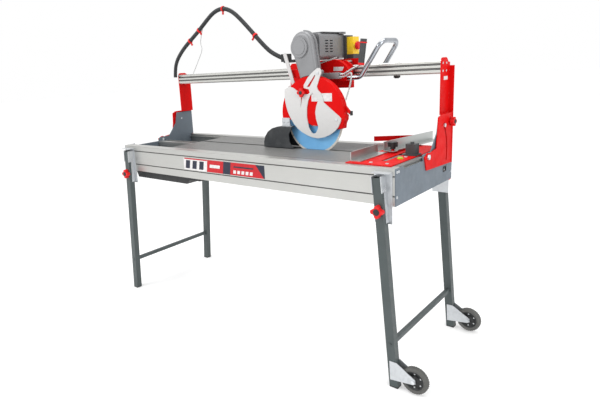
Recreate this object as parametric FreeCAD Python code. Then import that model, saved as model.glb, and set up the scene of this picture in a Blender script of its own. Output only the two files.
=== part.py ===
"""Bridge wet tile saw: a grooved table on folding legs, and a saw head that runs on a tilting guide rail.

Millimetres. The working frame has the middle of the table at X 0, Y 0 and the floor at Z 0, with X to
the right, Y to the back and Z up. Every part is moved by ORIGIN_SHIFT as it is written, which puts the
origin at the middle of the footprint of the whole saw.
"""

import FreeCAD, Part
import math
import os

V = FreeCAD.Vector
os.makedirs("parts", exist_ok=True)

ORIGIN_SHIFT = (-68.0, -37.0, 0.0)

# Table
RAIL_END = 959.0          # half length of the side rails
RAIL_OUT = 311.0          # outer face of a side rail
RAIL_IN = 265.0           # inner face of a side rail
RAIL_LOW = 837.0
TABLE_TOP = 1000.0
PLANK_LOW = 988.0         # underside of the table planks, top of the centre beam
PLANK_LEFT = -553.0
EAR_IN = 954.0            # inner face of the ear plates
SLOT_FRONT = -6.0         # blade slot in the table
SLOT_BACK = 22.0

# Tilt axis of the bridge, along X
PIVOT_Y = 2.0
PIVOT_Z = 998.0
PIVOT_R = 8.0
TILT_SLOT_R = 222.0       # radius of the arc slot in each boot plate
TILT_BOLT_ANGLE = 34.4    # angle of the tilt bolt above the horizontal

# Guide rail
GUIDE_END = 944.0
GUIDE_FRONT = 184.0
GUIDE_BACK = 254.0
GUIDE_LOW = 1365.0
GUIDE_TOP = 1428.0

# Head
HEAD_X = 145.0            # plunge axis, along Y
HEAD_Z = 1400.0
MOTOR_X = 278.0
MOTOR_Z = 1533.0
BLADE_X = 345.0
BLADE_Z = 1153.0
BLADE_R = 175.0
MOTOR_PULLEY_R = 38.0
BLADE_PULLEY_R = 45.0
GUARD_X = 345.0           # middle of the round part of the guard
GUARD_Z = 1190.0
GUARD_R = 196.0
GUARD_BACK = 12.0
GUARD_KNOB_X = 293.0
GUARD_KNOB_Z = 1303.0
ROLLER_R = 14.0
ROLLER_X = (110.0, 420.0)
ROLLER_GAP = 0.3
RUNNING = 0.06            # radial clearance of running fits
GRIP_LEAN = 8.0           # lean of the grip to the right, in degrees
BUTTON_Y = 328.0          # axis of the stop button, along X
BUTTON_Z = 1531.0

# Legs
LEG_LEAN = math.degrees(math.atan(0.086))
LEG_AXIS_X = 907.3        # folding axis, along Y
LEG_AXIS_Z = 822.0
LEG_HALF = 20.0
LEG_FRONT = 353.8
LEG_BACK = 317.8
CROSSBAR_Z = 212.0
WHEEL_X = 1071.0
WHEEL_Y = 336.0
WHEEL_Z = 66.0
WHEEL_R = 62.5

# Gauge swivel axis, along Z
SWIVEL_X = 780.0
SWIVEL_Y = 30.0

# Water hose: centre line as (x, y, z)
HOSE_R = 13.0
HOSE_ROUTE = (
    (-957.0, 166.0, 1412.0),
    (-955.0, 168.0, 1462.0),
    (-934.0, 174.0, 1527.0),
    (-862.0, 181.0, 1600.0),
    (-763.0, 184.0, 1663.0),
    (-690.0, 185.0, 1709.0),
    (-622.0, 185.0, 1757.0),
    (-545.0, 186.0, 1806.0),
    (-468.0, 186.0, 1822.0),
    (-404.0, 186.0, 1805.0),
    (-345.0, 186.0, 1768.0),
    (-250.0, 185.0, 1682.0),
    (-150.0, 185.0, 1583.0),
    (-70.0, 184.0, 1518.0),
    (2.0, 184.0, 1491.5),
)


def box(x0, x1, y0, y1, z0, z1):
    return Part.makeBox(x1 - x0, y1 - y0, z1 - z0, V(x0, y0, z0))


def cyl_x(r, x0, x1, y, z):
    return Part.makeCylinder(r, x1 - x0, V(x0, y, z), V(1, 0, 0))


def cyl_y(r, y0, y1, x, z):
    return Part.makeCylinder(r, y1 - y0, V(x, y0, z), V(0, 1, 0))


def cyl_z(r, z0, z1, x, y):
    return Part.makeCylinder(r, z1 - z0, V(x, y, z0), V(0, 0, 1))


def polygon_face(points):
    return Part.Face(Part.makePolygon(points + [points[0]]))


def prism_x(yz, x0, x1):
    return polygon_face([V(x0, y, z) for y, z in yz]).extrude(V(x1 - x0, 0, 0))


def prism_y(xz, y0, y1):
    return polygon_face([V(x, y0, z) for x, z in xz]).extrude(V(0, y1 - y0, 0))


def prism_z(xy, z0, z1):
    return polygon_face([V(x, y, z0) for x, y in xy]).extrude(V(0, 0, z1 - z0))


def join(first, *others):
    return first.fuse(list(others)).removeSplitter()


def mirror_x(shape):
    return shape.mirror(V(0, 0, 0), V(1, 0, 0))


def mirror_y(shape):
    return shape.mirror(V(0, 0, 0), V(0, 1, 0))


def turned(shape, centre, axis, degrees):
    copy = shape.copy()
    copy.rotate(V(*centre), V(*axis), degrees)
    return copy


def hexagon(across, a, b):
    r = across / math.sqrt(3.0)
    angles = [math.radians(60 * k) for k in range(6)]
    return [(a + r * math.cos(angle), b + r * math.sin(angle)) for angle in angles]


def hex_x(across, x0, x1, y, z):
    return prism_x(hexagon(across, y, z), x0, x1)


def hex_y(across, y0, y1, x, z):
    return prism_y(hexagon(across, x, z), y0, y1)


def hull_y(x0, z0, r0, x1, z1, r1, y0, y1):
    """Plate with the outline of a belt round two discs, extruded along Y."""
    dx = x1 - x0
    dz = z1 - z0
    length = math.hypot(dx, dz)
    along = math.atan2(dz, dx)
    spread = math.acos((r0 - r1) / length)
    corners = []
    for x, z, r, side in ((x0, z0, r0, 1), (x1, z1, r1, 1), (x1, z1, r1, -1), (x0, z0, r0, -1)):
        a = along + side * spread
        corners.append((x + r * math.cos(a), z + r * math.sin(a)))
    return join(prism_y(corners, y0, y1), cyl_y(r0, y0, y1, x0, z0), cyl_y(r1, y0, y1, x1, z1))


def swept(points, r, share=0.45):
    """Round bar along straight runs that are joined by tangent arcs."""
    points = [V(*p) for p in points]
    edges = []
    start = points[0]
    for before, corner, after in zip(points, points[1:], points[2:]):
        u = (before - corner).normalize()
        w = (after - corner).normalize()
        shorter = min((before - corner).Length, (after - corner).Length)
        half_turn = (math.pi - u.getAngle(w)) / 2.0
        cut = share * shorter
        radius = cut / math.tan(half_turn)
        middle_way = (u + w).normalize()
        centre = corner + middle_way * math.hypot(cut, radius)
        arc_start = corner + u * cut
        arc_end = corner + w * cut
        arc_mid = centre - middle_way * radius
        edges.append(Part.LineSegment(start, arc_start).toShape())
        edges.append(Part.Arc(arc_start, arc_mid, arc_end).toShape())
        start = arc_end
    edges.append(Part.LineSegment(start, points[-1]).toShape())
    path = Part.Wire(edges)
    ring = Part.Wire([Part.makeCircle(r, points[0], points[1] - points[0])])
    return path.makePipeShell([ring], True, False)


def star_knob(r, depth, lobes=4):
    """Star knob with its back at Z 0 and its axis along +Z."""
    body = Part.makeCylinder(r * 0.66, depth)
    for k in range(lobes):
        a = 2 * math.pi * k / lobes
        middle = V(r * 0.64 * math.cos(a), r * 0.64 * math.sin(a), 0)
        body = body.fuse(Part.makeCylinder(r * 0.36, depth, middle))
    return body.removeSplitter()


def facing(shape, origin, direction):
    """Turns a shape built along +Z so that it points along direction from origin."""
    copy = shape.copy()
    turn = FreeCAD.Rotation(V(0, 0, 1), V(*direction))
    copy.Placement = FreeCAD.Placement(V(*origin), turn)
    return copy


def save(name, *solids):
    shape = solids[0] if len(solids) == 1 else Part.makeCompound(list(solids))
    if not shape.isValid():
        raise ValueError(name + " is not valid")
    moved = shape.copy()
    moved.translate(V(*ORIGIN_SHIFT))
    moved.exportStep("parts/" + name + ".step")
    print(name, "solids", len(shape.Solids), "volume", round(shape.Volume))


def side_rail():
    """Front side rail: a hollow extrusion with two grooves in its outer face and a ledge for the planks."""
    rail = box(-RAIL_END, RAIL_END, -RAIL_OUT, -RAIL_IN, RAIL_LOW, TABLE_TOP)
    lip_end = EAR_IN - 0.5
    lip = box(-lip_end, lip_end, -RAIL_IN, -258.0, TABLE_TOP - 4, TABLE_TOP)
    ledge = box(-lip_end, lip_end, -RAIL_IN, -246.0, PLANK_LOW - 6, PLANK_LOW)
    rail = join(rail, lip, ledge)
    for z0, z1 in ((840, 872), (890, 958), (977, 994)):
        rail = rail.cut(box(-RAIL_END, RAIL_END, -RAIL_OUT + 3, -RAIL_IN - 3, z0, z1))
    for z in (881, 967):
        rail = rail.cut(box(-RAIL_END, RAIL_END, -RAIL_OUT, -RAIL_OUT + 5, z - 3, z + 3))
    rail = rail.cut(box(-RAIL_END, RAIL_END, -RAIL_OUT, -RAIL_OUT + 1.5, 994.5, 997))
    return rail


def end_plate():
    """Right end plate with its pivot lobe and its cable and key holes."""
    plate = box(RAIL_END, RAIL_END + 4, -RAIL_OUT, RAIL_OUT, RAIL_LOW, TABLE_TOP)
    plate = plate.cut(prism_x([(-235, 1001), (-235, 988), (-36, 988), (-36, 1001)], RAIL_END, RAIL_END + 4))
    lobe = prism_x([(-36, 988), (-32, 1004), (-22, 1013), (50, 1013), (60, 1000)], RAIL_END, RAIL_END + 4)
    plate = join(plate, lobe)
    plate = plate.cut(box(RAIL_END, RAIL_END + 4, 200, 232, 893, 915))
    plate = plate.cut(box(RAIL_END, RAIL_END + 4, 236, 242, 917, 947))
    return plate.cut(cyl_x(PIVOT_R, RAIL_END, RAIL_END + 4, PIVOT_Y, PIVOT_Z))


def ear_plate():
    """Ear inside the right end plate that carries the pivot pin and the tilt bolt."""
    outline = [(-32, 900), (-32, 1008), (-20, 1014), (57, 1014), (128, 1095), (144, 1168)]
    outline += [(284, 1168), (284, 1003), (263, 1003), (263, 900)]
    ear = prism_x(outline, EAR_IN, RAIL_END)
    for y, z in ((PIVOT_Y, PIVOT_Z), tilt_bolt_centre()):
        ear = ear.cut(cyl_x(PIVOT_R if z == PIVOT_Z else 5.0, EAR_IN, RAIL_END, y, z))
    return ear


def tilt_bolt_centre():
    a = math.radians(TILT_BOLT_ANGLE)
    return (PIVOT_Y + TILT_SLOT_R * math.cos(a), PIVOT_Z + TILT_SLOT_R * math.sin(a))


def pivot_pin():
    pin = cyl_x(PIVOT_R, EAR_IN, 970, PIVOT_Y, PIVOT_Z)
    return join(pin, hex_x(22, 970, 977, PIVOT_Y, PIVOT_Z))


def tilt_bolt():
    y, z = tilt_bolt_centre()
    return join(cyl_x(5, EAR_IN, 970, y, z), hex_x(17, 970, 976, y, z))


def end_screws():
    """Four screw heads at the corners of the right end plate."""
    screws = []
    for y, z in ((-301, 985), (-301, 876), (301, 985), (301, 876), (-285, 985)):
        head = cyl_x(6, RAIL_END + 4, RAIL_END + 7, y, z)
        screws.append(head.cut(cyl_x(2.5, RAIL_END + 5.5, RAIL_END + 7, y, z)))
    return screws


def centre_beam():
    """Gutter beam under the blade slot."""
    beam = box(-953, 953, -42, 30, 930, PLANK_LOW)
    beam = beam.cut(box(-953, 953, SLOT_FRONT - 4, SLOT_BACK + 4, 948, PLANK_LOW - 4))
    beam = beam.cut(box(-953, 953, SLOT_FRONT, SLOT_BACK, 940, PLANK_LOW))
    beam = beam.cut(box(-953, 953, -38, -12, 934, PLANK_LOW - 5))
    return beam


def plank(y0, y1):
    """Table plank with fine grooves along its top."""
    pitch = 12.0
    count = int((y1 - y0 - 12) / pitch)
    start = y0 + (y1 - y0 - count * pitch) / 2.0
    outline = [(y0, PLANK_LOW), (y0, TABLE_TOP)]
    for k in range(count):
        y = start + (k + 0.5) * pitch
        low = TABLE_TOP - 1.6
        outline += [(y - 2, TABLE_TOP), (y - 1.4, low), (y + 1.4, low), (y + 2, TABLE_TOP)]
    outline += [(y1, TABLE_TOP), (y1, PLANK_LOW)]
    return prism_x(outline, PLANK_LEFT, 952.0)


def water_tray():
    outside = [(-929, RAIL_LOW), (-905, 785), (-420, 785), (-394, 812), (-300, 812), (-286, RAIL_LOW)]
    inside = [(-925.5, RAIL_LOW), (-903, 788), (-421.3, 788), (-395.3, 815), (-302, 815)]
    inside.append((-290, RAIL_LOW))
    return prism_y(outside, -271, 271).cut(prism_y(inside, -263, 263))


def water_pump():
    x, y = -835.0, -150.0
    body = join(cyl_z(48, 788, 806, x, y), cyl_z(42, 806, 880, x, y), cyl_z(30, 880, 892, x, y))
    return join(body, cyl_z(9, 892, 915, x + 12, y))


def leg_hanger(x):
    """Steel plate that hangs on the front rail and carries one leg."""
    plate = box(x - 42, x + 42, -RAIL_OUT - 3.5, -RAIL_OUT, 758, 985.5)
    lip = box(x - 42, x + 42, -345, -RAIL_OUT - 3.5, 982.5, 985.5)
    hanger = join(plate, lip)
    return hanger.cut(cyl_y(5.0 + RUNNING, -RAIL_OUT - 3.5, -RAIL_OUT, x, LEG_AXIS_Z))


def mains_inlet():
    """Cable gland box on the left end plate."""
    x = -RAIL_END - 4
    body = box(x - 26, x, -110, -60, 872, 924)
    return join(body, cyl_z(9, 858, 872, x - 13, -85))


def build_table():
    rail = side_rail()
    save("front_rail", rail)
    save("back_rail", mirror_y(rail))
    plate, ear, pin, bolt = end_plate(), ear_plate(), pivot_pin(), tilt_bolt()
    save("right_end_plate", plate, ear)
    save("left_end_plate", mirror_x(plate), mirror_x(ear))
    screws = end_screws() + [pin, bolt]
    save("frame_screws", *(screws + [mirror_x(s) for s in screws] + gauge_screws()))
    save("center_beam", centre_beam())
    save("table_front", plank(-257.8, SLOT_FRONT))
    save("table_back", plank(SLOT_BACK, 257.8))
    save("water_tray", water_tray())
    save("water_pump", water_pump())
    hangers = [leg_hanger(x) for x in (-LEG_AXIS_X, LEG_AXIS_X)]
    save("leg_hangers", *(hangers + [mirror_y(h) for h in hangers]))
    save("mains_inlet", mains_inlet())


def angle_bar(x0, y0, x1, y1, z0, height, foot, wall=4.0):
    """L section bar along a line in plan, with its foot on the right of the line."""
    length = math.hypot(x1 - x0, y1 - y0)
    bar = join(box(0, wall, 0, length, 0, height), box(0, foot, 0, length, 0, wall))
    turn = math.degrees(math.atan2(x0 - x1, y1 - y0))
    bar.rotate(V(0, 0, 0), V(0, 0, 1), turn)
    bar.translate(V(x0, y0, z0))
    return bar


def gauge_screws():
    screws = []
    for x, y in ((809, -240), (889, -243), (889, -60), (888, 62)):
        head = cyl_z(8, TABLE_TOP + 4, TABLE_TOP + 7, x, y)
        screws.append(head.cut(cyl_z(3, TABLE_TOP + 5.5, TABLE_TOP + 7, x, y)))
    return screws


def build_gauge():
    base = box(700, 925, -277, 285, TABLE_TOP, TABLE_TOP + 4)
    base = base.cut(box(826, 852, -180, 140, TABLE_TOP, TABLE_TOP + 4))
    post = cyl_z(8, TABLE_TOP + 4, 1046, SWIVEL_X, SWIVEL_Y)
    save("gauge_base", join(base, post))
    save("gauge_fence_front", angle_bar(707, -245, 707, 8, TABLE_TOP + 4, 42, 54))
    clamp = box(870, 916, -23, 23, TABLE_TOP + 4, 1058)
    clamp = join(clamp, cyl_z(9, 1058, 1066, 893, 0), box(862, 924, -30, 30, TABLE_TOP + 4, TABLE_TOP + 10))
    vial_rim = cyl_z(14, TABLE_TOP + 4, TABLE_TOP + 7, 885, -108)
    vial = join(cyl_z(12, TABLE_TOP + 4, TABLE_TOP + 12, 885, -108), vial_rim)
    save("gauge_clamp", clamp, vial)

    fence = angle_bar(735, 20, 800, 452, 1010, 46, 50)
    hub = cyl_z(24, 1010, 1014, SWIVEL_X, SWIVEL_Y)
    fence = join(fence, hub).cut(cyl_z(8 + RUNNING, 1000, 1060, SWIVEL_X, SWIVEL_Y))
    save("gauge_fence_back", fence)
    stop_bar = angle_bar(531, 300, 792, 454, 1010, 26, 12, 3.0)
    save("gauge_stop_bar", stop_bar.cut(prism_z(fence_zone(), 1005, 1060)))
    knob = facing(star_knob(25, 22, 5), (SWIVEL_X, SWIVEL_Y, 1034), (0, 0, 1))
    neck = cyl_z(13, 1022, 1034, SWIVEL_X, SWIVEL_Y)
    knob = join(knob, neck).cut(cyl_z(8 + RUNNING, 1000, 1047, SWIVEL_X, SWIVEL_Y))
    save("gauge_knob", knob)


def fence_zone():
    """Plan area that the swivel fence takes up, which the stop bar ends against."""
    dx, dy = 65.0, 432.0
    length = math.hypot(dx, dy)
    nx, ny = dy / length, -dx / length
    return [(735, 20), (800, 452), (800 + 60 * nx, 452 + 60 * ny), (735 + 60 * nx, 20 + 60 * ny)]


def in_leg_line(shape, side):
    """Leans a part built on the upright leg line of the right side, and mirrors it for the left."""
    leaned = turned(shape, (LEG_AXIS_X, 0, LEG_AXIS_Z), (0, 1, 0), -LEG_LEAN)
    return leaned if side > 0 else mirror_x(leaned)


def upright_leg():
    x = LEG_AXIS_X
    low = LEG_AXIS_Z - LEG_AXIS_Z / math.cos(math.radians(LEG_LEAN)) + 6
    tube = box(x - LEG_HALF, x + LEG_HALF, -LEG_FRONT, -LEG_BACK, low, 965)
    tube = tube.cut(box(x - LEG_HALF + 2, x + LEG_HALF - 2, -LEG_FRONT + 2, -LEG_BACK - 2, low, 965))
    tube = tube.cut(cyl_y(5.0 + RUNNING, -360, -310, x, LEG_AXIS_Z))
    return tube.cut(cyl_x(5, x - 30, x + 30, -336, 912))


def leg_frame(side):
    leg = upright_leg()
    bar_z = LEG_AXIS_Z - (LEG_AXIS_Z - CROSSBAR_Z) / math.cos(math.radians(LEG_LEAN))
    x = LEG_AXIS_X
    bar = box(x - 10, x + 10, -LEG_BACK, LEG_BACK, bar_z - 10, bar_z + 10)
    bar = bar.cut(box(x - 8, x + 8, -LEG_BACK, LEG_BACK, bar_z - 8, bar_z + 8))
    head = cyl_y(7, -LEG_FRONT - 4, -LEG_FRONT, x, bar_z)
    frame = join(leg, mirror_y(leg), bar, head, mirror_y(head))
    return in_leg_line(frame, side)


def leg_clamp():
    """Galvanised U clamp round the top of one front leg."""
    x = LEG_AXIS_X
    web = box(x - 23.4, x + 23.4, -LEG_BACK, -LEG_BACK + 3, 765, 972)
    clamp = web
    for s in (-1, 1):
        inner = x + s * (LEG_HALF + 0.4)
        x0, x1 = min(inner, inner + 3 * s), max(inner, inner + 3 * s)
        clamp = clamp.fuse(box(x0, x1, -338, -LEG_BACK, 765, 905))
        clamp = clamp.fuse(box(x0, x1, -358, -LEG_BACK, 900, 972))
    clamp = clamp.removeSplitter()
    clamp = clamp.cut(cyl_y(5.0 + RUNNING, -360, -310, x, LEG_AXIS_Z))
    return clamp.cut(cyl_x(5, x - 30, x + 30, -336, 912))


def leg_bolt():
    x = LEG_AXIS_X
    shank = cyl_x(5, x - 23.4, x + 23.4, -336, 912)
    return join(shank, hex_x(17, x + 23.4, x + 30, -336, 912), hex_x(17, x - 30, x - 23.4, -336, 912))


def foot_cap():
    x = LEG_AXIS_X
    low = LEG_AXIS_Z - LEG_AXIS_Z / math.cos(math.radians(LEG_LEAN)) + 6
    rim = box(x - LEG_HALF, x + LEG_HALF, -LEG_FRONT, -LEG_BACK, low - 8, low)
    plug = box(x - LEG_HALF + 2, x + LEG_HALF - 2, -LEG_FRONT + 2, -LEG_BACK - 2, low, low + 25)
    return join(rim, plug)


def level_foot(cap):
    """Cuts a leaning foot cap off flat at the floor."""
    return cap.common(box(-2000, 2000, -500, 500, 0, 200))


def wheel_fork():
    """Fork plates on both sides of the right front leg that carry a wheel axle."""
    outline = [(958, 130), (990, 130), (1080, 78), (1082, 60), (1070, 52), (962, 38)]
    plates = []
    for y0 in (-LEG_FRONT - 3, -LEG_BACK):
        plate = prism_y(outline, y0, y0 + 3).cut(cyl_y(5, y0, y0 + 3, WHEEL_X, WHEEL_Z))
        plates.append(plate)
    axle = cyl_y(5, -LEG_FRONT - 3, -LEG_BACK + 3, WHEEL_X, WHEEL_Z)
    cap_front = hex_y(17, -LEG_FRONT - 10, -LEG_FRONT - 3, WHEEL_X, WHEEL_Z)
    cap_back = hex_y(17, -LEG_BACK + 3, -LEG_BACK + 9, WHEEL_X, WHEEL_Z)
    return plates + [join(axle, cap_front, cap_back)]


def wheel():
    """Front wheel as hub and tyre, built round its axle."""
    y0, y1 = -WHEEL_Y - 14.5, -WHEEL_Y + 14.5
    hub = join(cyl_y(44, y0 + 3, y1 - 3, WHEEL_X, WHEEL_Z), cyl_y(12, y0, y1, WHEEL_X, WHEEL_Z))
    hub = hub.cut(cyl_y(5.0 + RUNNING, y0, y1, WHEEL_X, WHEEL_Z))
    tyre = cyl_y(WHEEL_R, y0, y1, WHEEL_X, WHEEL_Z)
    edges = [e for e in tyre.Edges if abs(e.Length - 2 * math.pi * WHEEL_R) < 1]
    tyre = tyre.makeFillet(7, edges).cut(cyl_y(44, y0, y1, WHEEL_X, WHEEL_Z))
    return hub, tyre


def leg_knob(side, front):
    """Star knob whose stud is the folding pin of one leg."""
    x = side * LEG_AXIS_X
    knob = facing(star_knob(29, 22), (x, -LEG_FRONT - 2, LEG_AXIS_Z), (0, -1, 0))
    stud = cyl_y(5, -LEG_FRONT - 4, -RAIL_OUT - 0.5, x, LEG_AXIS_Z)
    knob = join(knob, cyl_y(12, -LEG_FRONT - 4, -LEG_FRONT - 0.3, x, LEG_AXIS_Z), stud)
    return knob if front else mirror_y(knob)


def build_legs():
    for side, word in ((-1, "left"), (1, "right")):
        save(word + "_leg_frame", leg_frame(side))
        fittings = []
        for solid in (leg_clamp(), leg_bolt()):
            fittings += [in_leg_line(solid, side), in_leg_line(mirror_y(solid), side)]
        if side > 0:
            fork = wheel_fork()
            fittings += fork + [mirror_y(solid) for solid in fork]
        save(word + "_leg_clamps", *fittings)
        caps = [in_leg_line(foot_cap(), side), in_leg_line(mirror_y(foot_cap()), side)]
        save(word + "_foot_caps", *[level_foot(cap) for cap in caps])
        for front in (True, False):
            save("leg_knob_" + word + ("_front" if front else "_back"), leg_knob(side, front))
    save("front_wheel", *wheel())
    save("back_wheel", *[mirror_y(s) for s in wheel()])


def guide_rail():
    """Hollow guide extrusion with bevelled corners and two grooves in its front face."""
    y0, y1, z0, z1 = GUIDE_FRONT, GUIDE_BACK, GUIDE_LOW, GUIDE_TOP
    outline = [(y0 + 6, z0), (y0, z0 + 6), (y0, z0 + 18), (y0 + 5, z0 + 20), (y0 + 5, z0 + 26)]
    outline += [(y0, z0 + 28), (y0, z1 - 24), (y0 + 5, z1 - 22), (y0 + 5, z1 - 16), (y0, z1 - 14)]
    outline += [(y0, z1 - 4), (y0 + 4, z1)]
    outline += [(y1 - 4, z1), (y1, z1 - 4), (y1, z0 + 6), (y1 - 6, z0)]
    rail = prism_x(outline, -GUIDE_END, GUIDE_END)
    for wall0, wall1 in ((y0 + 9, 217), (221, y1 - 4)):
        rail = rail.cut(box(-GUIDE_END, GUIDE_END, wall0, wall1, z0 + 4, z1 - 4))
    return rail


def rotated_arc(radius, degrees):
    a = math.radians(degrees)
    return (PIVOT_Y + radius * math.cos(a), PIVOT_Z + radius * math.sin(a))


def tilt_slot():
    """Arc slot cutter, 45 degrees long, that the tilt bolt runs in."""
    inner, outer = TILT_SLOT_R - 6, TILT_SLOT_R + 6
    low, high = TILT_BOLT_ANGLE - 46.0, TILT_BOLT_ANGLE + 1.5
    middle = (low + high) / 2.0

    def at(radius, degrees):
        y, z = rotated_arc(radius, degrees)
        return V(964, y, z)

    edges = [
        Part.Arc(at(inner, low), at(inner, middle), at(inner, high)).toShape(),
        Part.LineSegment(at(inner, high), at(outer, high)).toShape(),
        Part.Arc(at(outer, high), at(outer, middle), at(outer, low)).toShape(),
        Part.LineSegment(at(outer, low), at(inner, low)).toShape(),
    ]
    slot = Part.Face(Part.Wire(edges)).extrude(V(5, 0, 0))
    ends = [cyl_x(6, 964, 969, *rotated_arc(TILT_SLOT_R, a)) for a in (low, high)]
    return slot.fuse(ends)


def post(knob_y, knob_z):
    """Right bridge post: a web at the rail end, a back flange, and a boot plate outside the end plate."""
    web = box(GUIDE_END, 949, 184, 290, 1172, 1418)
    crown = [(184, 1418), (190, 1436), (202, 1440), (244, 1440), (256, 1434), (290, 1400)]
    web = join(web, prism_x(crown, 944, 949))
    flange = join(box(GUIDE_END, 972, 285, 290, 1172, 1401), box(964, 972, 285, 290, 926, 1172))
    shelf = box(GUIDE_END, 969, 184, 290, 1172, 1177)
    outline = [(-12, 938), (-35, 1005), (98, 1024), (112, 1100), (116, 1165), (150, 1177)]
    outline += [(290, 1177), (290, 926)]
    boot = join(prism_x(outline, 964, 969), cyl_x(20, 964, 969, PIVOT_Y, PIVOT_Z))
    shape = join(web, flange, shelf, boot).cut(tilt_slot())
    shape = shape.cut(cyl_x(PIVOT_R + RUNNING, 964, 969, PIVOT_Y, PIVOT_Z))
    return shape.cut(cyl_x(4 + RUNNING, 964, 969, knob_y, knob_z))


def rail_end_screws():
    screws = []
    for y in (198, 240):
        for z in (1378, 1414):
            screws.append(cyl_x(5.5, 949, 952, y, z).cut(cyl_x(2.2, 950.5, 952, y, z)))
    return screws


def tilt_knob(side, y, z):
    stud = cyl_x(4, 960, 974, y, z)
    stud = stud.cut(box(955, 964.2, y - 10, y + 10, z - 10, z + 10))
    neck = cyl_x(10, 969.4, 974, y, z)
    knob = join(facing(star_knob(22.5, 20), (973, y, z), (1, 0, 0)), stud, neck)
    return knob if side > 0 else mirror_x(knob)


def hose_wire():
    """Spring wire that holds up the hose, with the eye at its top that the hose passes through."""
    wire = [(-813, 206, GUIDE_TOP), (-752, 206, 1508), (-692, 206, 1591), (-722, 206, 1632)]
    wire.append((-668, 206, 1742))
    return swept(wire, 2.0, 0.3)


def build_bridge():
    save("guide_rail", guide_rail())
    save("right_post", post(262, 1133), *rail_end_screws())
    save("left_post", mirror_x(post(160, 1152)), *[mirror_x(s) for s in rail_end_screws()])
    save("tilt_knob_right", tilt_knob(1, 262, 1133))
    save("tilt_knob_left", tilt_knob(-1, 160, 1152))
    save("rail_stop", join(box(695, 719, 206, 232, 1353, GUIDE_LOW), box(699, 715, 210, 228, 1350, 1353)))
    save("hose", swept(HOSE_ROUTE, HOSE_R))
    save("hose_wire", hose_wire())


def carriage_plate():
    """Red carriage: two plates tied under the rail, with lugs for the handle and the head pin."""
    outline = [(72, 1330), (72, 1440), (87, 1455), (440, 1455), (480, 1430), (480, 1335), (470, 1330)]
    front = prism_y(outline, 160, 175)
    back = join(box(72, 480, 262, 270, 1366, 1455), box(170, 480, 262, 270, 1455, 1463))
    tie = join(box(372, 478, 160, 186, 1312, 1352), box(372, 400, 175, 270, 1334, 1350))
    tie = join(tie, box(372, 400, 262, 270, 1334, 1366))
    lug_front = box(438, 480, 106, 160, 1350, 1380)
    lug_back = box(438, 480, 270, 286, 1368, 1396)
    boss = cyl_y(22, 118, 160, HEAD_X, HEAD_Z)
    shape = join(front, back, tie, lug_front, lug_back, boss)
    for x in ROLLER_X:
        axle = cyl_y(5, 175, 262, x, GUIDE_TOP + ROLLER_R + ROLLER_GAP)
        shape = shape.fuse(axle)
    shape = shape.removeSplitter()
    return shape.cut(cyl_y(10 + RUNNING, 110, 180, HEAD_X, HEAD_Z))


def shroud():
    """Arched cover on the front of the carriage."""
    arc = Part.Arc(V(300, 125, 1438), V(392, 125, 1462), V(484, 125, 1402)).toShape()
    corners = [V(484, 125, 1402), V(484, 125, 1384), V(300, 125, 1384), V(300, 125, 1438)]
    face = Part.Face(Part.Wire([arc] + Part.makePolygon(corners).Edges))
    solid = face.extrude(V(0, 35, 0))
    inner = box(306, 478, 129, 160, 1388, 1400)
    return solid.cut(inner)


def roller(x):
    z = GUIDE_TOP + ROLLER_R + ROLLER_GAP
    wheel_body = cyl_y(ROLLER_R, 190, 248, x, z)
    return wheel_body.cut(cyl_y(5 + RUNNING, 190, 248, x, z))


def u_handle():
    """Bent tube from the front lug of the carriage up, across and down to the back lug."""
    route = [(480, 120, 1365), (554, 120, 1365), (674, 120, 1538)]
    route += [(690, 270, 1538), (587, 270, 1382), (480, 270, 1382)]
    return swept(route, 12.0, 0.27)


def hose_block():
    """Block at the end of the hose, on a bracket that stands on the back plate of the carriage."""
    bracket = join(box(15, 92, 176, 270, 1462, 1478), box(76, 92, 262, 270, 1455, 1462))
    return join(bracket, box(8, 52, 162, 206, 1468, 1512))


def build_carriage():
    save("carriage_plate", carriage_plate(), shroud())
    save("u_handle", u_handle())
    save("hose_block", hose_block())
    save("roller_left", roller(ROLLER_X[0]))
    save("roller_right", roller(ROLLER_X[1]))


def front_housing():
    """Rounded front part of the belt housing, hollow, with its lower edge parallel to the guard."""
    body = hull_y(288, 1543, 70, 321, 1398, 58, -20, 28)
    front_edges = [e for e in body.Edges if all(abs(v.Y + 20) < 0.01 for v in e.Vertexes)]
    body = body.makeFillet(20, front_edges)
    flange = hull_y(286, 1541, 78, 318, 1400, 62, 8, 20).common(box(286, 450, 0, 30, 1400, 1700))
    body = join(body, flange, cyl_y(52, -27, -10, MOTOR_X, MOTOR_Z), cyl_y(38, -29, -27, MOTOR_X, MOTOR_Z))
    recess = hull_y(288, 1543, 56, 321, 1398, 44, -10, 28).common(box(150, 450, -14, 32, 1404, 1700))
    return body.cut(recess).cut(cyl_y(GUARD_R + 3, -30, 30, GUARD_X, GUARD_Z))


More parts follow.
